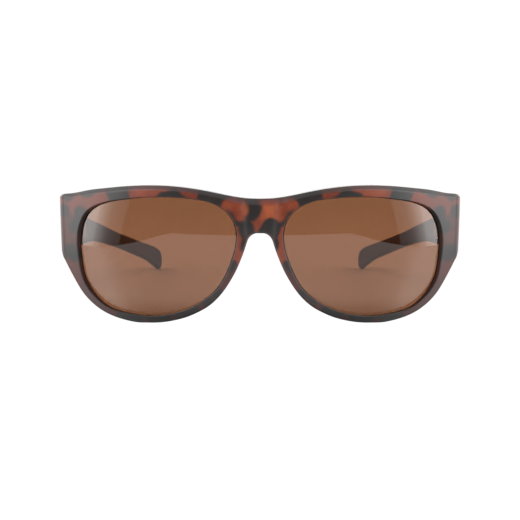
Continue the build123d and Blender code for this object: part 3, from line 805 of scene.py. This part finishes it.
def tortoise(matt=False):
    """Satin tortoiseshell plastic: soft-edged dark patches over a warm red-brown that drifts in tone; matt is the plain
    plastic of the arms' inner faces."""
    n = Nodes("inner_plastic" if matt else "tortoise_plastic")
    coord = n.add("ShaderNodeTexCoord").outputs["Object"]
    mm = n.vmath("SCALE", coord, scale=1000.0)
    field = n.add("ShaderNodeAttribute", attribute_name="patch").outputs["Fac"]
    inner = n.add("ShaderNodeAttribute", attribute_name="inner").outputs["Fac"]
    # the patch edges wander a little and are never quite even
    edge = n.noise(mm, 0.55, 3.0, 0.55)
    field = n.math("ADD", field, n.math("MULTIPLY", n.math("SUBTRACT", edge.outputs["Fac"], 0.5), 1.2))
    mask = n.ranged(field, -1.5, 1.5)
    # the warm plastic runs from nearly black through a deep red-brown to orange, with a faint drift and speckle
    drift = n.noise(mm, 0.16, 3.0, 0.55)
    # the tone attribute also carries the painted shade along the front's top edge and round its lens openings
    tone = n.add("ShaderNodeAttribute", attribute_name="tone").outputs["Fac"]
    tone = n.math("MULTIPLY", tone, n.ranged(drift.outputs["Fac"], 0.30, 0.70, 0.86, 1.14, smooth=False))
    speck = n.noise(mm, 0.9, 3.0, 0.6)
    tone = n.math("MULTIPLY", tone, n.ranged(speck.outputs["Fac"], 0.45, 0.80, 1.0, 0.78))
    scale = n.add("ShaderNodeValToRGB")
    n.link(n.math("MULTIPLY", tone, 1 / 1.3), scale.inputs[0])
    stops = scale.color_ramp.elements
    while len(stops) < len(WARM):
        stops.new(0.5)
    for stop, (level, colour) in zip(stops, WARM):
        stop.position = level / 1.3
        stop.color = colour
    warm = scale.outputs["Color"]
    black = n.mix(n.ranged(drift.outputs["Fac"], 0.35, 0.65), BLACK_A, BLACK_B)
    colour = n.mix(mask, warm, black)
    # the inner side of the arms is dark, with only a trace of the patches
    dull = n.mix(n.ranged(speck.outputs["Fac"], 0.4, 0.7), INNER_A, INNER_B)
    dull = n.mix(n.math("MULTIPLY", mask, 0.55), dull, INNER_DARK)
    colour = n.mix(n.ranged(inner, 0.25, 0.85), colour, dull)
    if matt:
        colour = dull
    fine = n.noise(mm, 9.0, 2.0, 0.6)
    low, high = (0.60, 0.70) if matt else (0.30, 0.38)
    rough = n.ranged(fine.outputs["Fac"], 0.3, 0.7, low, high, smooth=False)
    bump = n.add("ShaderNodeBump")
    bump.inputs["Strength"].default_value = 0.10
    bump.inputs["Distance"].default_value = 0.00003
    n.link(fine.outputs["Fac"], bump.inputs["Height"])
    shader = n.add("ShaderNodeBsdfPrincipled")
    n.link(colour, shader.inputs["Base Color"])
    n.link(rough, shader.inputs["Roughness"])
    n.link(bump.outputs["Normal"], shader.inputs["Normal"])
    shader.inputs["IOR"].default_value = 1.5
    shader.inputs["Specular IOR Level"].default_value = 0.22 if matt else 0.5
    n.link(shader.outputs["BSDF"], n.out.inputs["Surface"])
    return n.material


WARM = [(0.0, (0.008, 0.006, 0.006, 1)), (0.2, (0.040, 0.008, 0.005, 1)), (0.45, (0.100, 0.014, 0.004, 1)),
        (0.7, (0.155, 0.029, 0.009, 1)), (1.0, (0.222, 0.048, 0.015, 1)), (1.3, (0.290, 0.066, 0.021, 1))]
BLACK_A = (0.006, 0.005, 0.005, 1)
BLACK_B = (0.012, 0.007, 0.006, 1)
INNER_A = (0.044, 0.019, 0.012, 1)
INNER_B = (0.058, 0.024, 0.015, 1)
INNER_DARK = (0.014, 0.009, 0.007, 1)
plastic = tortoise()
inner_plastic = tortoise(matt=True)


def tinted_lens():
    n = Nodes("brown_lens")
    coord = n.add("ShaderNodeTexCoord").outputs["Object"]
    mm = n.vmath("SCALE", coord, scale=1000.0)
    soft = n.noise(mm, 0.02, 1.0, 0.5)
    tint = n.mix(soft.outputs["Fac"], (0.187, 0.0775, 0.0362, 1), (0.192, 0.0800, 0.0375, 1))
    haze = n.noise(mm, 0.5, 2.0, 0.5)
    shader = n.add("ShaderNodeBsdfPrincipled")
    n.link(tint, shader.inputs["Base Color"])
    n.link(n.ranged(haze.outputs["Fac"], 0.3, 0.7, 0.0, 0.003, smooth=False), shader.inputs["Roughness"])
    shader.inputs["IOR"].default_value = 1.5
    shader.inputs["Transmission Weight"].default_value = 1.0
    n.link(shader.outputs["BSDF"], n.out.inputs["Surface"])
    return n.material


def hinge_metal():
    n = Nodes("hinge_steel")
    coord = n.add("ShaderNodeTexCoord").outputs["Object"]
    mm = n.vmath("SCALE", coord, scale=1000.0)
    grain = n.vmath("MULTIPLY", mm, (1.0, 1.0, 8.0))
    streak = n.noise(grain, 1.6, 3.0, 0.6)
    blot = n.noise(mm, 0.8, 2.0, 0.5)
    colour = n.mix(blot.outputs["Fac"], (0.42, 0.41, 0.40, 1), (0.60, 0.59, 0.57, 1))
    shader = n.add("ShaderNodeBsdfPrincipled")
    n.link(colour, shader.inputs["Base Color"])
    shader.inputs["Metallic"].default_value = 1.0
    n.link(n.ranged(streak.outputs["Fac"], 0.3, 0.7, 0.22, 0.40, smooth=False), shader.inputs["Roughness"])
    bump = n.add("ShaderNodeBump")
    bump.inputs["Strength"].default_value = 0.15
    bump.inputs["Distance"].default_value = 0.00002
    n.link(streak.outputs["Fac"], bump.inputs["Height"])
    n.link(bump.outputs["Normal"], shader.inputs["Normal"])
    n.link(shader.outputs["BSDF"], n.out.inputs["Surface"])
    return n.material


brown_lens = tinted_lens()
steel = hinge_metal()
front.data.materials.append(plastic)
for arm in (temple_l, temple_r):
    arm.data.materials.append(plastic)
    arm.data.materials.append(inner_plastic)
    level = [d.value for d in arm.data.attributes["inner"].data]
    for polygon in arm.data.polygons:
        if sum(level[v] for v in polygon.vertices) > 0.99 * len(polygon.vertices):
            polygon.material_index = 1
for lens in (lens_l, lens_r):
    lens.data.materials.append(brown_lens)
for node in ("front_hinge_leaf_left", "front_hinge_leaf_right", "temple_hinge_leaf_left", "temple_hinge_leaf_right",
             "hinge_screw_left", "hinge_screw_right"):
    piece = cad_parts[node]
    for s in piece.material_slots:
        s.material = steel
    if not piece.material_slots:
        piece.data.materials.append(steel)


# ------------------------------------------------------------------ stage and light
def stage_plane(name, corners, material):
    mesh = bpy.data.meshes.new(name)
    mesh.from_pydata(corners, [], [tuple(range(len(corners)))])
    obj = bpy.data.objects.new(name, mesh)
    bpy.context.scene.collection.objects.link(obj)
    obj.data.materials.append(material)
    return obj


FLOOR_WHITE = 0.66
TABLE_GLOW = 1.28
ABOVE = 0.38
SWEEP = 1.9
SWEEP_HIGH = 1.25
ROOF = 0.62
SIDE_BACK = 0.20
ROOM = 0.08

# The floor is white paper. Straight at it the camera sees it burnt out to white, through the lenses it shows the
# object's soft shadows, and in reflections it is a bright table top.
paper = Nodes("paper")
path = paper.add("ShaderNodeLightPath")
matte = paper.add("ShaderNodeBsdfDiffuse")
place = paper.add("ShaderNodeSeparateXYZ")
paper.link(paper.add("ShaderNodeTexCoord").outputs["Object"], place.inputs[0])
paper.link(paper.ranged(place.outputs["Y"], 0.16, 0.42, FLOOR_WHITE, 0.90 * FLOOR_WHITE), matte.inputs["Color"])
burnt = paper.add("ShaderNodeEmission")
burnt.inputs["Strength"].default_value = 1.02
bright = paper.add("ShaderNodeEmission")
# painted contact shadow: the table's glow, as seen in reflections, is dimmed close to the front's curved lower edge
spot = paper.add("ShaderNodeTexCoord").outputs["Object"]
reach = paper.vmath("DISTANCE", paper.vmath("MULTIPLY", spot, (1.0, 1.0, 0.0)), (0.0, 0.07639, 0.0))
paper.link(paper.ranged(reach, 0.149, 0.172, 0.30 * TABLE_GLOW, TABLE_GLOW), bright.inputs["Strength"])
sheen = paper.add("ShaderNodeBsdfGlossy")
sheen.inputs["Color"].default_value = (0.2, 0.2, 0.2, 1)
sheen.inputs["Roughness"].default_value = 0.05
top = paper.add("ShaderNodeAddShader")
paper.link(bright.outputs[0], top.inputs[0])
paper.link(sheen.outputs[0], top.inputs[1])
first = paper.add("ShaderNodeMixShader")
paper.link(path.outputs["Is Transmission Ray"], first.inputs[0])
paper.link(top.outputs[0], first.inputs[1])
paper.link(matte.outputs[0], first.inputs[2])
second = paper.add("ShaderNodeMixShader")
paper.link(path.outputs["Is Camera Ray"], second.inputs[0])
paper.link(first.outputs[0], second.inputs[1])
paper.link(burnt.outputs[0], second.inputs[2])
paper.link(second.outputs[0], paper.out.inputs["Surface"])
# left edge and front edge of the paper, which the lenses mirror
half_floor = [(-0.262, -0.2876), (-0.308, -0.4076), (-0.440, -0.6936), (-0.648, -1.19)]
floor_pts = [(-0.9, 1.6), (-0.9, 0.10), (-0.24, -0.20)] + half_floor
floor_poly = [(x, y, 0.0) for x, y in floor_pts] + [(-x, y, 0.0) for x, y in reversed(floor_pts)]
floor = stage_plane("floor", floor_poly, paper.material)

# The studio round the object: white where the camera looks, a dark room behind the camera, a tall soft panel at each side
# whose light falls off towards its front edge, a soft light above the camera and a white sweep behind.
studio = Nodes("studio", world=True)
bpy.context.scene.world = studio.material
way = studio.add("ShaderNodeSeparateXYZ")
studio.link(studio.add("ShaderNodeTexCoord").outputs["Generated"], way.inputs[0])
turn = studio.math("ARCTAN2", studio.math("ABSOLUTE", way.outputs["X"]), studio.math("MULTIPLY", way.outputs["Y"], -1.0))
turn = studio.math("MULTIPLY", turn, 180 / math.pi)
rise = studio.math("MULTIPLY", studio.math("ARCSINE", way.outputs["Z"]), 180 / math.pi)
lean = studio.math("SUBTRACT", turn, studio.math("MULTIPLY", studio.math("SUBTRACT", 8.0, rise), 0.252))
ramp = studio.add("ShaderNodeValToRGB")
studio.link(studio.ranged(lean, 42.0, 62.0, 0.0, 1.0, smooth=False), ramp.inputs[0])
stops = ramp.color_ramp.elements
PANEL = [(42.7, 0.0), (43.1, 0.7), (45.4, 1.0), (47.6, 1.5), (49.2, 2.5), (50.6, 3.9), (51.8, 5.2), (53.0, 7.4), (55.0, 8.0)]
while len(stops) < len(PANEL):
    stops.new(0.5)
for stop, (angle, glow) in zip(stops, PANEL):
    stop.position = (angle - 42.0) / 20.0
    stop.color = (glow / 8, glow / 8, glow / 8, 1)
side = studio.math("MULTIPLY", ramp.outputs["Color"], 8.0)
side = studio.math("MULTIPLY", side, studio.ranged(rise, 44.0, 72.0, 1.0, 0.0))
side = studio.math("MULTIPLY", side, studio.ranged(rise, -14.0, -3.0, 0.0, 1.0))
side = studio.math("MULTIPLY", side, studio.ranged(turn, 60.0, 82.0, 1.0, SIDE_BACK))
above = studio.math("MULTIPLY", studio.ranged(rise, 14.0, 24.0, 0.0, ABOVE), studio.ranged(rise, 50.0, 66.0, 1.0, 0.0))
above = studio.math("MULTIPLY", above, studio.ranged(turn, 60.0, 90.0, 1.0, 0.0))
sweep = studio.math("MULTIPLY", studio.ranged(turn, 74.0, 98.0), studio.ranged(rise, -12.0, -2.0))
sweep = studio.math("MULTIPLY", sweep, studio.ranged(rise, 15.0, 45.0, SWEEP, SWEEP_HIGH))
roof = studio.ranged(rise, 50.0, 66.0, 0.0, ROOF)
total = studio.math("ADD", studio.math("ADD", side, above), studio.math("ADD", sweep, roof))
total = studio.math("ADD", total, ROOM)
seen = studio.add("ShaderNodeBackground")
seen.inputs["Color"].default_value = (1, 1, 1, 1)
seen.inputs["Strength"].default_value = 1.02
room = studio.add("ShaderNodeBackground")
studio.link(total, room.inputs["Strength"])
path = studio.add("ShaderNodeLightPath")
both = studio.add("ShaderNodeMixShader")
direct = studio.math("LESS_THAN", path.outputs["Diffuse Depth"], 0.5)
through = studio.math("MULTIPLY", path.outputs["Is Transmission Ray"], direct)
studio.link(studio.math("MAXIMUM", path.outputs["Is Camera Ray"], through), both.inputs[0])
studio.link(room.outputs[0], both.inputs[1])
studio.link(seen.outputs[0], both.inputs[2])
studio.link(both.outputs[0], studio.out.inputs["Surface"])
studio.material.cycles.sampling_method = "MANUAL"
studio.material.cycles.sample_map_resolution = 1024

bpy.context.scene.view_settings.view_transform = "Standard"
bpy.context.scene.view_settings.look = "None"
